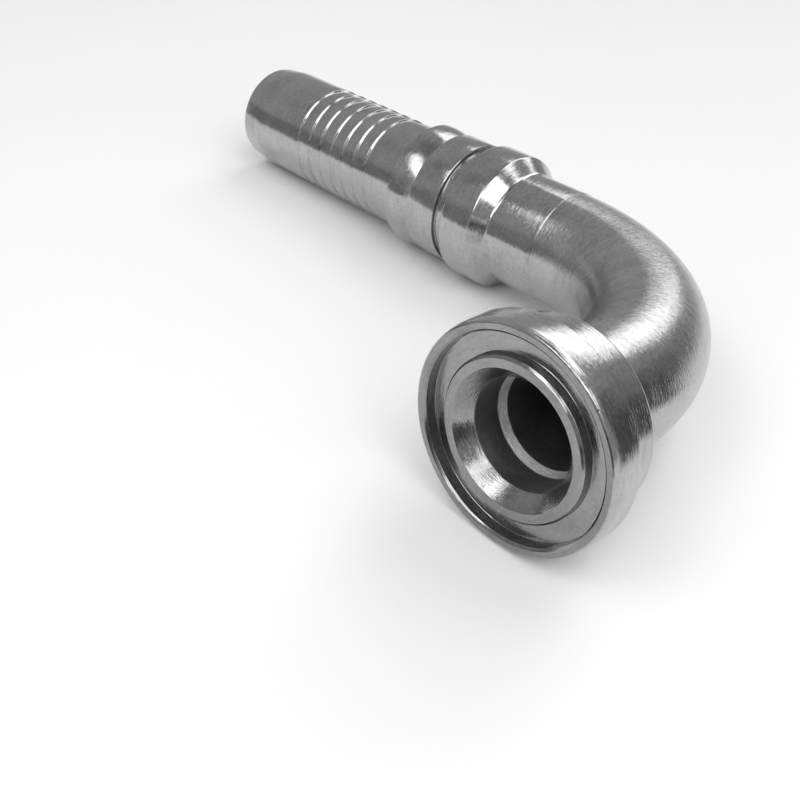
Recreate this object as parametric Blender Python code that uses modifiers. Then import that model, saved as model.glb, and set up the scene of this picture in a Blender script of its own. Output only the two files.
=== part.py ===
"""Hydraulic flange elbow: flange head, neck, 90 degree bend, collar, lock rings and ribbed hose tail, in one piece.

It is made as the real one is: turned and bored straight as one closed profile, then bent.
Lengths are in millimetres. In the straight state X runs from the sealing face to the tail tip, with the
start of the bend at X = 0, and the profile's second coordinate is the radius.
"""

import math

import bpy
from mathutils import Matrix, Vector

MM = 0.001
NAME = "flange_fitting"
STEPS = 48
CURVE_CUTS = 5

# Head, with its sealing face at the far left of the profile
HEAD_R = 22.225
HEAD_T = 7.2
FACE_EDGE_W = 0.55
FACE_EDGE_D = 0.25
HEAD_BACK_EDGE = 0.3
# Seal groove, the land inside it and the rim's inner edge
GROOVE_R = 20.0
GROOVE_IN_R = 15.8
GROOVE_D = 2.8
GROOVE_EDGE_W = 0.55
GROOVE_EDGE_D = 0.5
LAND_DROP = 0.3
LAND_EDGE = 0.2
LAND_IN_R = 13.6
# Lead-in cone, mouth bore and the step to the main bore
CONE_END_R = 10.85
CONE_END = 3.6
MOUTH_R = 10.6
STEP_START = 9.7
STEP_END = 11.4
BORE_R = 9.9
# Neck behind the head
NECK_R = 19.3
NECK_END = 15.2
NECK_ROOT = 0.8
NECK_EDGE = 0.4
SHOULDER_L = 4.4
SHOULDER_ROOT = 1.6
# Bend
DROP = 70.0
BEND_R = 43.0
BEND_ANGLE = math.radians(90)
BENT_TUBE_R = 13.4
TUBE_R = 13.5
BEND_EDGE = 0.4
OUTER_CUTS = 16
INNER_CUTS = 10
# Collar and lock rings, each position measured along the tail from the flange axis
COLLAR_R = 16.45
COLLAR_START = 59.7
COLLAR_END = 68.8
COLLAR_CHAMFER_L = 3.5
COLLAR_EDGE = 0.3
LOCK_GROOVE_R = 14.2
RING_R = 15.3
RING_START = 71.7
RING_END = 80.1
RING_EDGE = 0.25
BEAD_FOOT_R = 14.0
BEAD_R = 15.5
BEAD_CREST = 87.3
BEAD_BACK_L = 1.5
BEAD_BACK_DROP = 0.45
# Hose tail
TAIL_R = 13.35
RIB_R = 13.45
RIB_ROOT_R = 13.0
RIBS = 7
RIB_FIRST = 98.9
RIB_PITCH = 4.25
RIB_FACE_L = 0.4
NOSE_START = 141.5
TAIL_END = 148.4
NOSE_TAPER_R = 12.6
NOSE_ROUND = 0.9
MOUTH_EDGE = 0.7
TAIL_BORE_R = 9.5
TAIL_BORE_START = 69.4

BEND_START = DROP - BEND_R
BEND_L = BEND_R * BEND_ANGLE
# A place on the tail, measured from the flange axis, is this much further along the straight blank
TAIL_SHIFT = BEND_L - BEND_R


def arc(centre, radius, start, end, cuts):
    """Points of an arc about centre, with the angles in degrees from the +X direction."""
    angles = [math.radians(start + (end - start) * i / cuts) for i in range(cuts + 1)]
    return [(centre[0] + radius * math.cos(a), centre[1] + radius * math.sin(a)) for a in angles]


def head_side():
    """The outer side of the head, neck and shoulder, by distance from the sealing face."""
    cone_end = NECK_END + SHOULDER_L
    slope = math.degrees(math.atan2(NECK_R - NECK_EDGE - BENT_TUBE_R, SHOULDER_L))
    tangent = SHOULDER_ROOT * math.tan(math.radians(slope / 2))
    points = [(0, HEAD_R - FACE_EDGE_W), (FACE_EDGE_D, HEAD_R), (HEAD_T - HEAD_BACK_EDGE, HEAD_R)]
    points += [(HEAD_T, HEAD_R - HEAD_BACK_EDGE)]
    points += arc((HEAD_T + NECK_ROOT, NECK_R + NECK_ROOT), NECK_ROOT, 180, 270, CURVE_CUTS)
    points += [(NECK_END - NECK_EDGE, NECK_R), (NECK_END, NECK_R - NECK_EDGE)]
    centre = (cone_end + tangent, BENT_TUBE_R + SHOULDER_ROOT)
    points += arc(centre, SHOULDER_ROOT, 270 - slope, 270, CURVE_CUTS)
    return [(s - BEND_START, r) for s, r in points]


def bend_side(radius, cuts):
    """The bent length at one radius, from its start to its end."""
    return [(BEND_L * i / cuts, radius) for i in range(cuts + 1)]


def ring_side():
    """The tube after the bend, the collar and the lock rings, by place along the tail."""
    points = [(BEND_R + BEND_EDGE, TUBE_R), (COLLAR_START - COLLAR_CHAMFER_L, TUBE_R)]
    points += [(COLLAR_START, COLLAR_R), (COLLAR_END - COLLAR_EDGE, COLLAR_R)]
    points += [(COLLAR_END, COLLAR_R - COLLAR_EDGE), (COLLAR_END, LOCK_GROOVE_R), (RING_START, LOCK_GROOVE_R)]
    points += [(RING_START, RING_R - RING_EDGE), (RING_START + RING_EDGE, RING_R)]
    points += [(RING_END - RING_EDGE, RING_R), (RING_END, RING_R - RING_EDGE)]
    points += arc_to_crest()
    points += [(BEAD_CREST + BEAD_BACK_DROP, BEAD_R - BEAD_BACK_DROP), (BEAD_CREST + BEAD_BACK_L, TAIL_R)]
    return points


def arc_to_crest():
    """The rounded bead, an arc that rises from its foot at the ring and is level at its crest."""
    length, height = BEAD_CREST - RING_END, BEAD_R - BEAD_FOOT_R
    radius = (length**2 + height**2) / (2 * height)
    foot_angle = 90 + math.degrees(math.asin(length / radius))
    return arc((BEAD_CREST, BEAD_R - radius), radius, foot_angle, 90, CURVE_CUTS)


def tail_side():
    """The ribs, nose and bore of the tail, by place along it. Each rib's steep face looks at the collar."""
    points = [(RIB_FIRST - RIB_PITCH, TAIL_R)]
    for i in range(RIBS):
        crest = RIB_FIRST + i * RIB_PITCH
        points += [(crest - RIB_FACE_L, RIB_ROOT_R), (crest, RIB_R)]
    points += [(RIB_FIRST + RIBS * RIB_PITCH - RIB_FACE_L, TAIL_R), (NOSE_START, TAIL_R)]
    taper = math.degrees(math.atan2(TAIL_R - NOSE_TAPER_R, TAIL_END - NOSE_START))
    centre = (TAIL_END - NOSE_ROUND, NOSE_TAPER_R - NOSE_ROUND)
    points += arc(centre, NOSE_ROUND, 90 - taper, 0, CURVE_CUTS)
    points += [(TAIL_END, TAIL_BORE_R + MOUTH_EDGE), (TAIL_END - MOUTH_EDGE, TAIL_BORE_R)]
    points += [(TAIL_BORE_START + BORE_R - TAIL_BORE_R, TAIL_BORE_R), (TAIL_BORE_START, BORE_R)]
    return points


def face_side():
    """The bore's step, mouth and cone, the land and the seal groove, by distance from the sealing face."""
    points = [(STEP_END, BORE_R), (STEP_START, MOUTH_R), (CONE_END, CONE_END_R), (LAND_DROP, LAND_IN_R)]
    points += [(LAND_DROP, GROOVE_IN_R - LAND_EDGE), (LAND_DROP + LAND_EDGE, GROOVE_IN_R)]
    points += [(GROOVE_D, GROOVE_IN_R), (GROOVE_D, GROOVE_R)]
    points += [(GROOVE_EDGE_D, GROOVE_R), (0, GROOVE_R + GROOVE_EDGE_W)]
    return [(s - BEND_START, r) for s, r in points]


def profile():
    """The closed profile of the straight blank: out along the skin to the tail tip, and back through the bore."""
    skin = head_side() + bend_side(BENT_TUBE_R, OUTER_CUTS)
    skin += [(y + TAIL_SHIFT, r) for y, r in ring_side() + tail_side()]
    return skin + bend_side(BORE_R, INNER_CUTS)[::-1] + face_side()


def turned_blank():
    """The profile as a loop of edges, turned about X by a Screw modifier."""
    points = profile()
    mesh = bpy.data.meshes.new(NAME)
    loop = [(i, (i + 1) % len(points)) for i in range(len(points))]
    mesh.from_pydata([(x * MM, 0, r * MM) for x, r in points], loop, [])
    blank = bpy.data.objects.new(NAME, mesh)
    turn = blank.modifiers.new("turn", "SCREW")
    turn.axis = "X"
    turn.steps = turn.render_steps = STEPS
    turn.use_merge_vertices = True
    turn.merge_threshold = 1e-6
    turn.use_normal_flip = True
    return blank


def bend(blank):
    """Bends the length between the neck and the collar about Z, and leaves the two ends straight."""
    start = -BEND_START
    whole = TAIL_END + TAIL_SHIFT - start
    form = blank.modifiers.new("bend", "SIMPLE_DEFORM")
    form.deform_method = "BEND"
    form.deform_axis = "Z"
    form.angle = BEND_ANGLE
    form.limits = (-start / whole, (BEND_L - start) / whole)


def lying_rotation():
    """Turns the fitting so that it lies on the head's back edge, the collar and the nose of the tail.

    In the bent state the face looks along -X, the tail runs along +Y, and the bend's plane is Z = 0.
    """
    collar_at, nose_at = COLLAR_END - COLLAR_EDGE, NOSE_START
    tail_slope = math.atan((COLLAR_R - TAIL_R) / (nose_at - collar_at))
    reach = DROP - (HEAD_T - HEAD_BACK_EDGE)
    collar_height = collar_at * math.sin(tail_slope) + COLLAR_R * math.cos(tail_slope)
    face_slope = math.atan2(HEAD_R, reach) - math.asin(collar_height / math.hypot(reach, HEAD_R))
    up = Vector((-math.sin(face_slope), -math.sin(tail_slope), 0))
    up.z = math.sqrt(1 - up.length_squared)
    tail = Vector((0, 1, 0))
    across = -(tail - up * tail.dot(up)).normalized()
    return Matrix((across, up.cross(across), up)).to_4x4()


def rest(fitting):
    """Lays the fitting down and brings the middle of its base to the origin."""
    turned = lying_rotation()
    fitting.matrix_world = turned
    bpy.context.view_layer.update()
    evaluated = fitting.evaluated_get(bpy.context.evaluated_depsgraph_get())
    mesh = evaluated.to_mesh()
    points = [turned @ vertex.co for vertex in mesh.vertices]
    evaluated.to_mesh_clear()
    low = Vector([min(p[i] for p in points) for i in range(3)])
    high = Vector([max(p[i] for p in points) for i in range(3)])
    middle = (low + high) / 2
    fitting.matrix_world = Matrix.Translation((-middle.x, -middle.y, -low.z)) @ turned


def steel():
    material = bpy.data.materials.new("bright_steel")
    material.use_nodes = True
    shader = material.node_tree.nodes["Principled BSDF"]
    shader.inputs["Base Color"].default_value = (0.56, 0.56, 0.55, 1)
    shader.inputs["Metallic"].default_value = 1
    shader.inputs["Roughness"].default_value = 0.3
    return material


def main():
    for obj in list(bpy.data.objects):
        bpy.data.objects.remove(obj, do_unlink=True)
    group = bpy.data.collections.new("flange_fitting_parts")
    bpy.context.scene.collection.children.link(group)
    fitting = turned_blank()
    group.objects.link(fitting)
    bend(fitting)
    fitting.data.materials.append(steel())
    rest(fitting)


main()
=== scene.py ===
# %% [markdown]
# # A hydraulic flange elbow, turned and bent
#
# The fitting joins a flat pump or valve port to a hose. On the bench it is one bright steel part: a round
# flange head with a seal groove in its face, a neck, a tube bent through 90 degrees, a crimping collar with
# two lock rings, and a ribbed tail that goes into the hose.
#
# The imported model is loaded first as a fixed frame. It isn't moved or changed. The finer fitting that is
# modelled here stands in the same place, and rides on the same body.

import math

import bpy
from mathutils import Matrix, Vector


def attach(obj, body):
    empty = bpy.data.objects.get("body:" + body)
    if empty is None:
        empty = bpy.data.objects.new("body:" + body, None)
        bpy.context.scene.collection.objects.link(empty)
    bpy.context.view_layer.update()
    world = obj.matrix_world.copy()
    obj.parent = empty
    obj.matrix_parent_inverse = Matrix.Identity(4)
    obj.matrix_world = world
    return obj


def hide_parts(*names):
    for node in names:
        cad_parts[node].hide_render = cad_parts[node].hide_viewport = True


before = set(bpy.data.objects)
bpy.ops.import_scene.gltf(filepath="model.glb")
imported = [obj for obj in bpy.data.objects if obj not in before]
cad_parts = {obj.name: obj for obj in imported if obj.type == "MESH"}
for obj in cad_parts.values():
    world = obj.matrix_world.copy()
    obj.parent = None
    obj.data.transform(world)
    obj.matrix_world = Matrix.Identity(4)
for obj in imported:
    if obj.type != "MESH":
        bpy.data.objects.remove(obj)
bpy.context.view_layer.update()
bpy.ops.object.select_all(action="DESELECT")

# %% [markdown]
# ## How to make a turned and bent part
#
# A part like this could be joined from cylinders and a torus piece, with a boolean for every groove. It
# could also be swept along a curve, but then each groove needs its own place on the curve. The way chosen is
# the one the workshop uses: the blank is turned straight, as one closed profile that takes in the outside
# and the bore, and only then bent. One surface results, with no seams to hide.
#
# Lengths are in millimetres until the last step. X runs along the blank, 0 is where the bend starts, and the
# profile's height over X is the radius.

# %% Sizes that the whole blank shares
MM = 0.001
DROP = 70.0
BEND_R = 43.0
BEND_ANGLE = math.radians(90)
BEND_L = BEND_R * BEND_ANGLE
FACE_AT = BEND_R - DROP
TAIL_SHIFT = BEND_L - BEND_R
BENT_TUBE_R = 13.4
TAIL_R = 13.35
BORE_R = 9.9
TURN_STEPS = 240
BEND_CUTS = 71
print("straight blank starts at", FACE_AT, "mm and bends over", round(BEND_L, 2), "mm")

# %% [markdown]
# ## The profile, corner by corner
#
# Each corner is written as a place, a radius and the size of its rounding. No edge of a real turned part is
# perfectly sharp: the tool leaves a break of a tenth of a millimetre or two, and that thin edge is what
# catches the light. The roundings here are small, but they draw every line that is seen on the part.
#
# The head comes first: a thin rim with broken edges, a shallow lead, a straight side, and a neck that meets
# the head's back in a small fillet.

# %% Corners of the head, neck and shoulder
HEAD_R, HEAD_T = 22.225, 7.2
RIM_OUT_R, RIM_EDGE_D = 21.6, 0.2
LEAD_R, LEAD_L = 21.95, 1.4
NECK_R, NECK_END, SHOULDER_END = 19.3, 15.2, 19.6
head = [
    (0, RIM_OUT_R, 0.1),
    (RIM_EDGE_D, LEAD_R, 0.1),
    (LEAD_L, HEAD_R, 0.5),
    (HEAD_T, HEAD_R, 0.3),
    (HEAD_T, NECK_R, 0.8),
    (NECK_END, NECK_R, 0.35),
    (SHOULDER_END, BENT_TUBE_R, 2.2),
]
corners = [(FACE_AT + s, r, rounding) for s, r, rounding in head]
corners += [(0, BENT_TUBE_R, 0), (BEND_L, BENT_TUBE_R, 0)]
print(len(corners), "corners up to the end of the bend")

# %% [markdown]
# The collar has a wide chamfer towards the tube and a square back. Behind it come a lock groove, a flat ring
# and a rounded bead, which hold the ferrule when it is crimped. The bead rises along an arc that is level at
# its crest, and drops steeply to the tail.

# %% Corners of the collar and lock rings
TUBE_R, BEND_STEP = 13.5, 0.12
COLLAR_START, COLLAR_END, COLLAR_R, COLLAR_CHAMFER_L = 59.7, 68.8, 16.45, 3.5
LOCK_GROOVE_R = 14.2
RING_START, RING_END, RING_R = 71.7, 80.1, 15.3
rings = [
    (BEND_R + BEND_STEP, TUBE_R, 0.04),
    (COLLAR_START - COLLAR_CHAMFER_L, TUBE_R, 0.5),
    (COLLAR_START, COLLAR_R, 0.25),
    (COLLAR_END, COLLAR_R, 1.1),
    (COLLAR_END, LOCK_GROOVE_R, 0.15),
    (RING_START, LOCK_GROOVE_R, 0.15),
    (RING_START, RING_R, 0.3),
    (RING_END, RING_R, 0.25),
]
BEAD_CREST, BEAD_R, BEAD_FOOT_R, BEAD_CUTS = 87.3, 15.5, 14.0, 14
BEAD_BACK_L, BEAD_BACK_DROP = 1.5, 0.45
bead_l, bead_h = BEAD_CREST - RING_END, BEAD_R - BEAD_FOOT_R
bead_arc_r = (bead_l**2 + bead_h**2) / (2 * bead_h)
for i in range(BEAD_CUTS + 1):
    a = math.asin(bead_l / bead_arc_r) * (1 - i / BEAD_CUTS)
    rings.append((BEAD_CREST - bead_arc_r * math.sin(a), BEAD_R - bead_arc_r * (1 - math.cos(a)), 0))
rings.append((BEAD_CREST + BEAD_BACK_DROP, BEAD_R - BEAD_BACK_DROP, 0.25))
rings.append((BEAD_CREST + BEAD_BACK_L, TAIL_R, 0.5))
corners += [(TAIL_SHIFT + y, r, rounding) for y, r, rounding in rings]
print(len(corners), "corners up to the hose tail")

# %% [markdown]
# The seven ribs are a sawtooth: each has a steep face that looks back at the collar, so that the hose slides
# on easily and can't slide off. The nose tapers a little and is rounded, and the tail's bore leaves through
# it.

# %% Corners of the ribs, nose and tail bore
RIB_R, RIB_ROOT_R = 13.45, 13.0
RIBS, RIB_FIRST, RIB_PITCH, RIB_FACE = 7, 98.9, 4.25, 0.4
NOSE_START, NOSE_R, TAIL_END = 141.5, 12.5, 148.4
TAIL_BORE_START, TAIL_BORE_R, MOUTH_EDGE = 69.4, 9.5, 0.7
tail = [(RIB_FIRST - RIB_PITCH, TAIL_R, 0)]
for i in range(RIBS):
    crest = RIB_FIRST + i * RIB_PITCH
    tail += [(crest - RIB_FACE, RIB_ROOT_R, 0.08), (crest, RIB_R, 0.08)]
tail += [
    (RIB_FIRST + RIBS * RIB_PITCH - RIB_FACE, TAIL_R, 0),
    (NOSE_START, TAIL_R, 1.2),
    (TAIL_END, NOSE_R, 0.9),
    (TAIL_END, TAIL_BORE_R + MOUTH_EDGE, 0.1),
    (TAIL_END - MOUTH_EDGE, TAIL_BORE_R, 0.1),
    (TAIL_BORE_START + BORE_R - TAIL_BORE_R, TAIL_BORE_R, 0),
    (TAIL_BORE_START, BORE_R, 0),
]
corners += [(TAIL_SHIFT + y, r, rounding) for y, r, rounding in tail]
corners += [(BEND_L, BORE_R, 0), (0, BORE_R, 0)]
print(RIBS, "ribs,", len(corners), "corners in all so far")

# %% [markdown]
# The sealing face takes the most care of all. From the bore outwards it has a step, the mouth bore, a
# lead-in cone, a flat land that lies 0.3 mm below the rim, the seal groove with its square walls, and a
# small chamfer that leads the seal into the groove.

# %% Corners of the sealing face
STEP_START, STEP_END, MOUTH_R = 9.7, 11.4, 10.6
CONE_END, CONE_END_R = 3.6, 10.85
LAND_DROP, LAND_IN_R, LAND_EDGE = 0.3, 13.6, 0.5
GROOVE_D, GROOVE_IN_R, GROOVE_R = 2.8, 15.8, 20.0
GROOVE_EDGE_D, GROOVE_EDGE_W = 0.5, 0.55
face = [
    (STEP_END, BORE_R, 0.1),
    (STEP_START, MOUTH_R, 0.15),
    (CONE_END, CONE_END_R, 0.1),
    (LAND_DROP, LAND_IN_R, 0.1),
    (LAND_DROP, GROOVE_IN_R - LAND_EDGE, 0.08),
    (LAND_DROP + LAND_EDGE, GROOVE_IN_R, 0.08),
    (GROOVE_D, GROOVE_IN_R, 0.15),
    (GROOVE_D, GROOVE_R, 0.15),
    (GROOVE_EDGE_D, GROOVE_R, 0.08),
    (0, GROOVE_R + GROOVE_EDGE_W, 0.08),
]
corners += [(FACE_AT + s, r, rounding) for s, r, rounding in face]
print("the whole profile has", len(corners), "corners")

# %% [markdown]
# ## Drawing the profile
#
# A profile can be typed in as a mesh, or drawn as it is by hand: one vertex, extruded from corner to corner,
# and closed with a last edge. Extruding keeps each step visible, so that is the way here. A plane merged to
# its centre gives the first vertex.


# %% Draw the chain of vertices
NEAR = 0.002


def pick(mesh, wanted):
    """Selects the vertices whose place, in millimetres, passes the test."""
    bpy.ops.object.mode_set(mode="OBJECT")
    for edge in mesh.edges:
        edge.select = False
    for polygon in mesh.polygons:
        polygon.select = False
    for vertex in mesh.vertices:
        vertex.select = wanted(vertex.co / MM)
    bpy.ops.object.mode_set(mode="EDIT")
    bpy.ops.mesh.select_mode(type="VERT")


bpy.ops.mesh.primitive_plane_add(size=MM, location=(corners[0][0] * MM, 0, corners[0][1] * MM))
blank = bpy.context.object
blank.name = "steel_elbow"
bpy.ops.object.transform_apply(location=True, rotation=True, scale=True)
bpy.ops.object.mode_set(mode="EDIT")
bpy.ops.mesh.merge(type="CENTER")
for (x0, r0, _), (x1, r1, _) in zip(corners, corners[1:]):
    move = ((x1 - x0) * MM, 0, (r1 - r0) * MM)
    bpy.ops.mesh.extrude_vertices_move(TRANSFORM_OT_translate={"value": move})
ends = [Vector((x, 0, r)) for x, r, _ in (corners[0], corners[-1])]
pick(blank.data, lambda p: min((p - end).length for end in ends) < NEAR)
bpy.ops.mesh.edge_face_add()
bpy.ops.object.mode_set(mode="OBJECT")
print("profile:", len(blank.data.vertices), "vertices,", len(blank.data.edges), "edges")

# %% [markdown]
# ## Rounding the corners
#
# The bevel tool can round vertices as well as edges. Rounding the flat profile is far lighter than
# bevelling every ring of the turned mesh, and gives the same result. Each size of rounding is one call.

# %% Round the corners, one size at a time
WIDE_ROUNDING, FEW_CUTS, MORE_CUTS = 0.4, 3, 6
for size in sorted({rounding for _, _, rounding in corners if rounding}):
    spots = [Vector((x, 0, r)) for x, r, rounding in corners if rounding == size]
    pick(blank.data, lambda p: min((p - spot).length for spot in spots) < NEAR)
    segments = FEW_CUTS if size < WIDE_ROUNDING else MORE_CUTS
    bpy.ops.mesh.bevel(offset=size * MM, segments=segments, affect="VERTICES", clamp_overlap=True)
bpy.ops.object.mode_set(mode="OBJECT")
print("rounded profile:", len(blank.data.vertices), "vertices")

# %% [markdown]
# ## Turning the blank
#
# The two long edges over the bend are cut into short ones first, because a straight edge can't bend. Spin
# then turns the profile about X, as a lathe would, and the seam where the turn closes is merged.

# %% Cut the bend's edges, then spin
CUT_MARGIN = 0.01
ends_at, top_at = BEND_L + CUT_MARGIN, BENT_TUBE_R + CUT_MARGIN
pick(blank.data, lambda p: -CUT_MARGIN < p.x < ends_at and p.z < top_at)
bpy.ops.mesh.subdivide(number_cuts=BEND_CUTS)
bpy.ops.mesh.select_all(action="SELECT")
bpy.ops.mesh.spin(steps=TURN_STEPS, angle=math.tau, center=(0, 0, 0), axis=(1, 0, 0))
bpy.ops.mesh.select_all(action="SELECT")
bpy.ops.mesh.remove_doubles(threshold=1e-6)
bpy.ops.mesh.normals_make_consistent(inside=False)
bpy.ops.object.mode_set(mode="OBJECT")
print("turned blank:", len(blank.data.vertices), "vertices,", len(blank.data.polygons), "faces")

# %% [markdown]
# ## Remembering the lathe
#
# The lathe's marks run round the blank. Once it is bent, nothing in space says which way that was. So each
# vertex keeps its place in the straight blank, as an attribute that the material reads later. A UV map could
# hold it too, but it would need a seam.

# %% Keep each vertex's place on the straight blank
stored = blank.data.attributes.new("blank_place", "FLOAT_VECTOR", "POINT")
flat = [0.0] * (3 * len(blank.data.vertices))
blank.data.vertices.foreach_get("co", flat)
stored.data.foreach_set("vector", flat)
print("stored", len(flat) // 3, "places")

# %% [markdown]
# ## Bending
#
# Simple Deform bends only between its two limits and leaves what lies outside them straight. The limits are
# fractions of the blank's whole length. Object X = 0 is where the bend starts, so the object's origin is
# already in the right place for it.

# %% Bend the tube
length = (TAIL_END + TAIL_SHIFT) - FACE_AT
bend = blank.modifiers.new("bend", "SIMPLE_DEFORM")
bend.deform_method = "BEND"
bend.deform_axis = "Z"
bend.angle = BEND_ANGLE
bend.limits = (-FACE_AT / length, (BEND_L - FACE_AT) / length)
bpy.context.view_layer.objects.active = blank
bpy.ops.object.modifier_apply(modifier="bend")
print("bent over", round(math.degrees(BEND_ANGLE)), "degrees")

# %% [markdown]
# ## Lying on the table
#
# Three points carry the fitting: the head's back edge, the collar's back edge and the nose of the tail. The
# two slopes below follow from their radii and places, in closed form, with the two back edges taken a little
# inwards where their rounding touches the table. The mesh is then turned and shifted,
# and the transform is applied, so that the object itself stays at the origin.

# %% Lay the fitting down
REST_EDGE = 0.3
collar_at = COLLAR_END - REST_EDGE
tail_slope = math.atan((COLLAR_R - TAIL_R) / (NOSE_START - collar_at))
reach = DROP - (HEAD_T - REST_EDGE)
collar_height = collar_at * math.sin(tail_slope) + COLLAR_R * math.cos(tail_slope)
face_slope = math.atan2(HEAD_R, reach) - math.asin(collar_height / math.hypot(reach, HEAD_R))
up = Vector((-math.sin(face_slope), -math.sin(tail_slope), 0))
up.z = math.sqrt(1 - up.length_squared)
along = Vector((0, 1, 0))
across = -(along - up * along.dot(up)).normalized()
blank.matrix_world = Matrix((across, up.cross(across), up)).to_4x4()
bpy.ops.object.transform_apply(location=False, rotation=True, scale=False)
points = [vertex.co for vertex in blank.data.vertices]
low = Vector([min(p[i] for p in points) for i in range(3)])
high = Vector([max(p[i] for p in points) for i in range(3)])
blank.location = (-(low.x + high.x) / 2, -(low.y + high.y) / 2, -low.z)
bpy.ops.object.transform_apply(location=True, rotation=False, scale=False)
bpy.ops.object.shade_smooth_by_angle(angle=math.radians(25))
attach(blank, "root")
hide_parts("flange_fitting")
print("size in mm:", [round(v / MM, 2) for v in high - low])

# %% [markdown]
# ## Helpers for the shader nodes
#
# A material can be wired node by node in the editor. Written as code, the same thing gets long, so a few
# short helpers carry it. They add a node and feed its inputs, do arithmetic, map a range of values to
# another, blend two numbers or two colours, and start a node group.


# %% Add, wire and combine nodes
def put(tree, kind, inputs=(), **settings):
    """Adds a node, sets its properties, and feeds its inputs with values or with another node's output."""
    made = tree.nodes.new(kind)
    for name, value in settings.items():
        setattr(made, name, value)
    for socket, value in dict(inputs).items():
        if isinstance(value, bpy.types.NodeSocket):
            tree.links.new(value, made.inputs[socket])
        else:
            made.inputs[socket].default_value = value
    return made


def maths(tree, operation, a, b=0.0):
    return put(tree, "ShaderNodeMath", {0: a, 1: b}, operation=operation).outputs[0]


def remap(tree, value, low, high, to_low=0.0, to_high=1.0):
    return put(tree, "ShaderNodeMapRange", {0: value, 1: low, 2: high, 3: to_low, 4: to_high}).outputs[0]


def mix(tree, amount, a, b):
    return put(tree, "ShaderNodeMix", {0: amount, 2: a, 3: b}, data_type="FLOAT").outputs[0]


def mix_colour(tree, amount, a, b, way="MIX"):
    inputs = {0: amount, 6: a, 7: b}
    return put(tree, "ShaderNodeMix", inputs, data_type="RGBA", blend_type=way).outputs[2]


def group(name, outputs, inputs=()):
    """An empty node group with number sockets, and the outputs of its input node."""
    tree = bpy.data.node_groups.new(name, "ShaderNodeTree")
    for socket, value in inputs:
        tree.interface.new_socket(socket, in_out="INPUT", socket_type="NodeSocketFloat").default_value = value
    for socket in outputs:
        kind = "NodeSocketVector" if socket == "Turn" else "NodeSocketFloat"
        tree.interface.new_socket(socket, in_out="OUTPUT", socket_type=kind)
    return tree, put(tree, "NodeGroupInput").outputs


print("helpers ready for Blender", bpy.app.version_string)

# %% [markdown]
# ## Where on the lathe
#
# Every mark of the lathe is tied to the straight blank, so the first group turns the stored place into three
# things: the station in millimetres from the sealing face, the radius in millimetres, and a unit vector that
# says how far round the point lies. An angle would do for the last one, but it jumps where the turn closes.

# %% The lathe frame
frame_group, _ = group("lathe_frame", ("Station", "Radius", "Turn"))
kept = put(frame_group, "ShaderNodeAttribute", attribute_name="blank_place").outputs["Vector"]
in_mm = put(frame_group, "ShaderNodeVectorMath", {0: kept, 3: 1 / MM}, operation="SCALE").outputs[0]
parts = put(frame_group, "ShaderNodeSeparateXYZ", {0: in_mm}).outputs
around = put(frame_group, "ShaderNodeCombineXYZ", {0: 0.0, 1: parts[1], 2: parts[2]}).outputs[0]
radius = put(frame_group, "ShaderNodeVectorMath", {0: around}, operation="LENGTH").outputs["Value"]
turn = put(frame_group, "ShaderNodeVectorMath", {0: around}, operation="NORMALIZE").outputs[0]
station = maths(frame_group, "SUBTRACT", parts[0], FACE_AT)
put(frame_group, "NodeGroupOutput", {0: station, 1: radius, 2: turn})
print("lathe_frame reads", stored.name)

# %% [markdown]
# ## Turning marks
#
# A lathe tool leaves fine rings. They are close together along the profile and very long round it, so the
# noise is squeezed along station and radius and stretched round the turn. Both station and radius are needed:
# on the tube only the station changes, on the face only the radius. Four dimensions of noise hold all of it
# without a seam. A wave texture would give perfectly even rings, which real turning never has.

# %% The marks as a group
marks, given = group("turning_marks", ("Mark",), (("Per mm", 3.0), ("Round", 3.0), ("Detail", 2.0)))
lathe = put(marks, "ShaderNodeGroup", node_tree=frame_group).outputs
round_it = put(marks, "ShaderNodeSeparateXYZ", {0: lathe["Turn"]}).outputs
squeezed = {
    0: maths(marks, "MULTIPLY", lathe["Station"], given["Per mm"]),
    1: maths(marks, "MULTIPLY", lathe["Radius"], given["Per mm"]),
    2: maths(marks, "MULTIPLY", round_it[1], given["Round"]),
}
noise = {
    "Vector": put(marks, "ShaderNodeCombineXYZ", squeezed).outputs[0],
    "W": maths(marks, "MULTIPLY", round_it[2], given["Round"]),
    "Scale": 1.0,
    "Detail": given["Detail"],
    "Roughness": 0.6,
}
waves = put(marks, "ShaderNodeTexNoise", noise, noise_dimensions="4D").outputs[0]
put(marks, "NodeGroupOutput", {0: maths(marks, "SUBTRACT", waves, 0.5)})
print("turning_marks gives a height around zero")

# %% [markdown]
# ## Zones of the finish
#
# It is one bar of steel, but it doesn't have one finish. The head and neck come straight from the tool. The
# bend is satin, because bending stretches the surface. The seal face has the finest marks and the darkest
# painted shade, the step in the bore is coarse, and the bore is dull. A zone is a mask between two stations
# or two radii, with a soft edge.

# %% Masks for the zones
steel = bpy.data.materials.new("turned_steel")
steel.use_nodes = True
tree = steel.node_tree
shader = tree.nodes["Principled BSDF"]
lathe = put(tree, "ShaderNodeGroup", node_tree=frame_group).outputs


def between(value, low, high, soft=0.05):
    """1 where a value lies between low and high, 0 outside."""
    rise = remap(tree, value, low - soft, low + soft)
    return maths(tree, "MULTIPLY", rise, remap(tree, value, high - soft, high + soft, 1.0, 0.0))


def both(a, b):
    return maths(tree, "MULTIPLY", a, b)


def added(first, *others):
    total = first
    for other in others:
        total = maths(tree, "ADD", total, other)
    return total


def by_zone(everywhere, *zones):
    """One value everywhere, and another one in each zone. A later zone covers an earlier one."""
    found = everywhere
    for mask, within in zones:
        found = mix(tree, mask, found, within)
    return found


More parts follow.
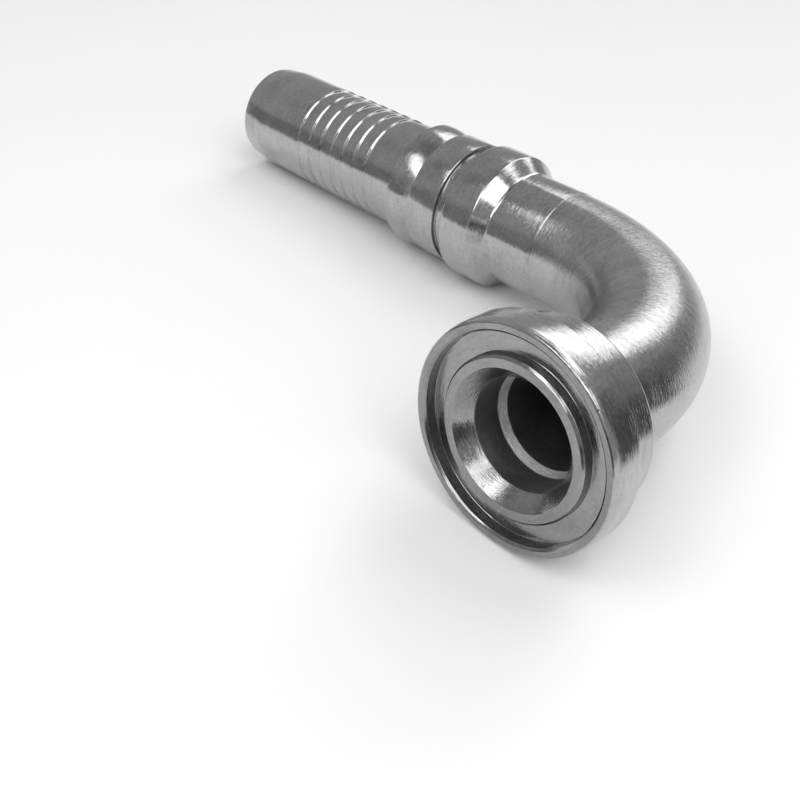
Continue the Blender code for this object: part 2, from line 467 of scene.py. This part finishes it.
LOW, FAR, MARGIN, HALF_MARGIN = -1, 300, 0.1, 0.05
SATIN_FROM, SATIN_TO, TAIL_FROM = 24.0, 94.9, 95.5
at, out = lathe["Station"], lathe["Radius"]
face_depth = CONE_END + MARGIN
inside = between(out, LOW, CONE_END_R + MARGIN)
front = both(between(at, LOW, face_depth), between(out, LOW, RIM_OUT_R + MARGIN))
groove = between(at, GROOVE_EDGE_D + MARGIN, face_depth)
groove = both(groove, between(out, GROOVE_IN_R - MARGIN, GROOVE_R + MARGIN))
cone = between(at, LAND_DROP + HALF_MARGIN, CONE_END)
cone = both(cone, between(out, CONE_END_R + HALF_MARGIN, LAND_IN_R))
step = both(inside, between(at, STEP_START - MARGIN, STEP_END + MARGIN))
bent = between(at, SATIN_FROM, SATIN_TO, 0.3)
behind = between(at, TAIL_FROM, FAR, 0.5)
print("seven zones, and the face's is", face_depth, "mm deep")

# %% [markdown]
# ## Height of the marks
#
# Fine marks make the highlight's edge streaky, and broad ones make it wander. Their heights are hundredths of
# a millimetre, as on real turned steel, and each zone gets its own share of the fine ones. All heights are
# added up and go through one bump node, because two bump nodes in a row blur each other.


# %% Bump
def mark(per_mm, sweep, detail):
    made = put(tree, "ShaderNodeGroup", node_tree=marks)
    for socket, value in (("Per mm", per_mm), ("Round", sweep), ("Detail", detail)):
        made.inputs[socket].default_value = value
    return made.outputs[0]


FINE_HEIGHT, BROAD_HEIGHT = 0.06, 0.05
fine = mark(3.6, 9.0, 2.0)
broad = mark(0.6, 1.6, 3.0)
share = by_zone(0.8, (behind, 0.6), (bent, 1.5), (front, 0.3), (cone, 1.0), (step, 2.5))
height = added(both(both(fine, FINE_HEIGHT), share), both(broad, BROAD_HEIGHT))
bump = put(tree, "ShaderNodeBump", {"Strength": 1.0, "Distance": MM, "Height": height})
tree.links.new(bump.outputs[0], shader.inputs["Normal"])
print("marks up to", FINE_HEIGHT, "mm high before each zone's share")

# %% [markdown]
# ## Colour of the steel
#
# Bare steel has no paint, so its colour is what it reflects: a neutral grey between two tones. Three things
# move it between them: the same marks that give the height, slow clouds a few millimetres wide where oil has
# dried unevenly, and a fine grain. Then comes painted shade: the seal face, its cone, its groove and the bore
# are painted darker, and the step in the bore is painted lighter, a painted highlight. Ambient occlusion
# paints shade into the corners, and a few small pits are dark dots.

# %% Tint, painted shade and pits
STEEL_DARK, STEEL_LIGHT = (0.36, 0.36, 0.358, 1), (0.50, 0.50, 0.497, 1)
here = put(tree, "ShaderNodeTexCoord").outputs["Object"]
cloud = put(tree, "ShaderNodeTexNoise", {"Vector": here, "Scale": 130.0, "Detail": 4.0}).outputs[0]
cloud = maths(tree, "SUBTRACT", cloud, 0.5)
grain = put(tree, "ShaderNodeTexNoise", {"Vector": here, "Scale": 1400.0, "Detail": 2.0}).outputs[0]
grain = maths(tree, "SUBTRACT", grain, 0.5)
tint = remap(tree, added(both(broad, 0.6), both(fine, 0.7), cloud, both(grain, 0.8)), -0.3, 0.3)
bare = mix_colour(tree, tint, STEEL_DARK, STEEL_LIGHT)
cavity = put(tree, "ShaderNodeAmbientOcclusion", {"Distance": 1.2 * MM}, samples=8, only_local=True)
# Ambient occlusion darkens the corners, grooves and recesses: painted shade.
painted_corner_shade = remap(tree, cavity.outputs["AO"], 0.3, 0.85, 0.72, 1.0)
# Painted shade per zone: the seal face, its cone and the bore darker, the step in the bore lighter as a
# painted highlight.
shade = by_zone(1.0, (front, 0.66), (cone, 0.72), (inside, 0.6), (step, 1.95))
# The seal groove gets one level of painted shade in place of the ambient occlusion and the zones.
shade = by_zone(both(painted_corner_shade, shade), (groove, 0.75))
pits = put(tree, "ShaderNodeTexVoronoi", {"Vector": here, "Scale": 230.0})
chance = put(tree, "ShaderNodeSeparateColor", {0: pits.outputs["Color"]}).outputs[0]
rare = remap(tree, chance, 0.8, 0.82)
pit = both(remap(tree, pits.outputs["Distance"], 0.03, 0.06, 1.0, 0.0), rare)
shade = both(shade, remap(tree, pit, 0, 1, 1.0, 0.35))
grey = put(tree, "ShaderNodeCombineColor", {0: shade, 1: shade, 2: shade}).outputs[0]
colour = mix_colour(tree, 1.0, bare, grey, "MULTIPLY")
print("steel between", STEEL_DARK[0], "and", STEEL_LIGHT[0])

# %% [markdown]
# ## Worn edges
#
# Parts that lie in a box rub against each other, and their edges get bright. A Bevel node gives the normal of
# a rounded edge without rounding it, so wherever it turns away from the surface's own normal, there is an
# edge. It finds inner corners too. Those are closed in, and the ambient occlusion from above takes them out.
# The clouds break the line up, because no edge wears evenly.

# %% Lighter, smoother edges
WORN = (0.66, 0.66, 0.655, 1)
rounded = put(tree, "ShaderNodeBevel", {"Radius": 0.35 * MM}, samples=8).outputs[0]
own = put(tree, "ShaderNodeNewGeometry").outputs["Normal"]
same = put(tree, "ShaderNodeVectorMath", {0: rounded, 1: own}, operation="DOT_PRODUCT").outputs["Value"]
edge = both(remap(tree, same, 0.995, 0.93), remap(tree, cavity.outputs["AO"], 0.7, 0.9))
wear = both(edge, remap(tree, added(cloud, grain), -0.12, 0.1, 0.15, 0.8))
tree.links.new(mix_colour(tree, wear, colour, WORN), shader.inputs["Base Color"])
print("edges lighten towards", WORN[0])

# %% [markdown]
# ## Roughness
#
# Metal is told by its roughness more than by its colour. Each zone has its own: the head's side and the tail
# are bright from the tool, the bend and the seal face are a little softer, and the bore is dull. Marks,
# clouds and grain move it a little, so that a highlight breaks up at its edge instead of fading evenly. The
# metallic value is the same everywhere, so it is set on the shader itself.

# %% Roughness of each zone
rough = by_zone(0.15, (behind, 0.14), (bent, 0.17), (front, 0.17), (inside, 0.5), (step, 0.6))
rough = added(rough, both(fine, 0.15), both(cloud, 0.15), both(grain, 0.16))
rough = by_zone(rough, (wear, 0.12))
tree.links.new(rough, shader.inputs["Roughness"])
shader.inputs["Metallic"].default_value = 1
blank.data.materials.clear()
blank.data.materials.append(steel)
print("material", steel.name, "has", len(tree.nodes), "nodes")

# %% [markdown]
# ## The floor
#
# A sheet of white paper, wide enough to fill the picture. It has hardly any gloss, a faint uneven tone, and
# keeps the shadow. Its white comes from its colour alone, and the steel mirrors the same paper that the
# camera sees.

# %% Floor
PAPER_DARK, PAPER_LIGHT = (0.93, 0.93, 0.93, 1), (0.97, 0.97, 0.97, 1)
bpy.ops.mesh.primitive_plane_add(size=4, location=(0, 0, 0))
floor = bpy.context.object
floor.name = "floor"
paper = bpy.data.materials.new("white_paper")
paper.use_nodes = True
sheet = paper.node_tree
matte = sheet.nodes["Principled BSDF"]
smudge = put(sheet, "ShaderNodeTexNoise", {"Scale": 9.0, "Detail": 6.0, "Roughness": 0.65}).outputs[0]
uneven = mix_colour(sheet, remap(sheet, smudge, 0.3, 0.7), PAPER_DARK, PAPER_LIGHT)
sheet.links.new(uneven, matte.inputs["Base Color"])
matte.inputs["Roughness"].default_value = 0.9
matte.inputs["Specular IOR Level"].default_value = 0.0
floor.data.materials.append(paper)
print("floor", tuple(floor.dimensions))

# %% [markdown]
# ## The room
#
# Polished metal shows its surroundings, so the room matters as much as the lamps. An even grey room gives the
# steel its middle tone. A few darker places in it, each a soft disc around one direction, give the dark bands
# between the highlights. An environment picture would do the same, but here each band can be placed one by
# one.
# Each line of the list holds an azimuth, an elevation and a reach in degrees, and the level in the middle.

# %% World
ROOM_LEVEL = 0.42
DARKER_PLACES = (
    (138, 22, 20, 0.15),
    (165, 8, 22, 0.27),
    (-38, 4, 16, 0.25),
    (-14, 16, 14, 0.28),
    (-64, 50, 12, 0.32),
    (-80, 80, 22, 0.25),
)
world = bpy.data.worlds.new("studio")
bpy.context.scene.world = world
world.use_nodes = True
room = world.node_tree
towards = put(room, "ShaderNodeTexCoord").outputs["Generated"]


def direction(azimuth, elevation):
    """The unit vector at an azimuth, with 0 at -Y and 90 at +X, and an elevation, both in degrees."""
    a, e = math.radians(azimuth), math.radians(elevation)
    return Vector((math.sin(a) * math.cos(e), -math.cos(a) * math.cos(e), math.sin(e)))


level = ROOM_LEVEL
for azimuth, elevation, spread, dim in DARKER_PLACES:
    aim = {0: towards, 1: direction(azimuth, elevation)}
    near = put(room, "ShaderNodeVectorMath", aim, operation="DOT_PRODUCT").outputs["Value"]
    rim, core = math.radians(spread), math.radians(spread / 2)
    level = mix(room, remap(room, near, math.cos(rim), math.cos(core)), level, dim)
room.links.new(level, room.nodes["Background"].inputs["Strength"])
room.nodes["Background"].inputs["Color"].default_value = (1, 1, 1, 1)
print("room at", ROOM_LEVEL, "with", len(DARKER_PLACES), "darker places")

# %% [markdown]
# ## Dark cards
#
# Near the floor the room is out of reach, because the steel there mirrors the paper. A photographer stands
# small grey cards just outside the picture, and so does this scene. They draw the dark line along the lower
# part of the bend and the head. Only the steel sees them: the camera and the paper don't, so other views
# stay clear. Each line of the list holds a name, a tone, a place on the floor, a width and a height in
# metres, and the way the card faces in degrees.

# %% Cards
CARDS = (
    ("right_card", 0.12, (0.155, 0.060), 0.07, 0.065, 137),
    ("front_card", 0.12, (0.117, -0.131), 0.13, 0.042, 41),
    ("left_card", 0.28, (-0.105, -0.080), 0.20, 0.034, -37),
)
for name, tone, (x, y), wide, high, facing in CARDS:
    bpy.ops.mesh.primitive_plane_add(size=1, location=(x, y, high / 2))
    card = bpy.context.object
    card.name = name
    card.scale = (wide, high, 1)
    card.rotation_euler = (math.radians(90), 0, math.radians(facing))
    bpy.ops.object.transform_apply(location=False, rotation=True, scale=True)
    board = bpy.data.materials.new(name)
    board.use_nodes = True
    dull = board.node_tree.nodes["Principled BSDF"].inputs
    dull["Base Color"].default_value = (tone, tone, tone, 1)
    dull["Roughness"].default_value = 0.8
    card.data.materials.append(board)
    card.visible_camera = card.visible_diffuse = card.visible_shadow = False
print(len(CARDS), "cards stand beside the fitting")

# %% [markdown]
# ## Soft boxes
#
# Each white shape on the steel is the mirror image of a lamp, so each lamp is placed by the direction in
# which the steel shows it, and sized in degrees. Its power follows from the brightness that it should show
# and its area. Large near lamps give broad highlights and soft shadows at once.
#
# The numbers of each lamp are its azimuth and elevation, its distance in metres, its width, height and roll
# in degrees, and its brightness where it isn't the usual one.

# %% Lamps
AIM = Vector((0.02, 0, 0.02))
USUAL_BRIGHTNESS = 2.3


def softbox(name, azimuth, elevation, distance, wide, high, roll, brightness=USUAL_BRIGHTNESS):
    """An area lamp that looks at the fitting. Brightness is what it shows as in a mirror."""
    away = direction(azimuth, elevation)
    data = bpy.data.lights.new(name, "AREA")
    data.shape = "RECTANGLE"
    data.size = 2 * distance * math.tan(math.radians(wide / 2))
    data.size_y = 2 * distance * math.tan(math.radians(high / 2))
    data.energy = brightness * math.pi * data.size * data.size_y
    lamp = bpy.data.objects.new(name, data)
    bpy.context.scene.collection.objects.link(lamp)
    lamp.location = AIM + away * distance
    facing = away.to_track_quat("Z", "Y").to_matrix() @ Matrix.Rotation(math.radians(roll), 3, "Z")
    lamp.rotation_euler = facing.to_euler()
    print(name, "gives", round(data.energy, 2), "W")


softbox("back_softbox", -164.5, 37, 1.5, 38, 26, 54, 2.0)
softbox("left_softbox", -25, 55, 1.5, 24, 16, -40)
softbox("right_softbox", 68, 53, 0.8, 40, 39, -45)
softbox("top_softbox", 165, 63, 1.0, 26, 20, -20)
softbox("front_softbox", 8, 42, 0.7, 40, 20, -33, 2.6)

# %% [markdown]
# ## Camera
#
# The camera looks down on the sealing face from the front right. Its place, turn and lens were worked out
# from the edges of the face and the length of the tail, and they are kept as plain numbers. The Standard view
# shows colours as they are written.

# %% Camera
camera_data = bpy.data.cameras.new("camera")
camera = bpy.data.objects.new("camera", camera_data)
bpy.context.scene.collection.objects.link(camera)
bpy.context.scene.camera = camera
camera_data.sensor_width = 36
camera_data.lens = 48.811
camera_data.clip_start = 0.01
camera.location = (0.146197, -0.163608, 0.139338)
camera.rotation_euler = [math.radians(a) for a in (52.669, -5.0837, 45.8757)]
bpy.context.scene.view_settings.view_transform = "Standard"
print("camera stands", round(camera.location.length, 3), "m from the middle")
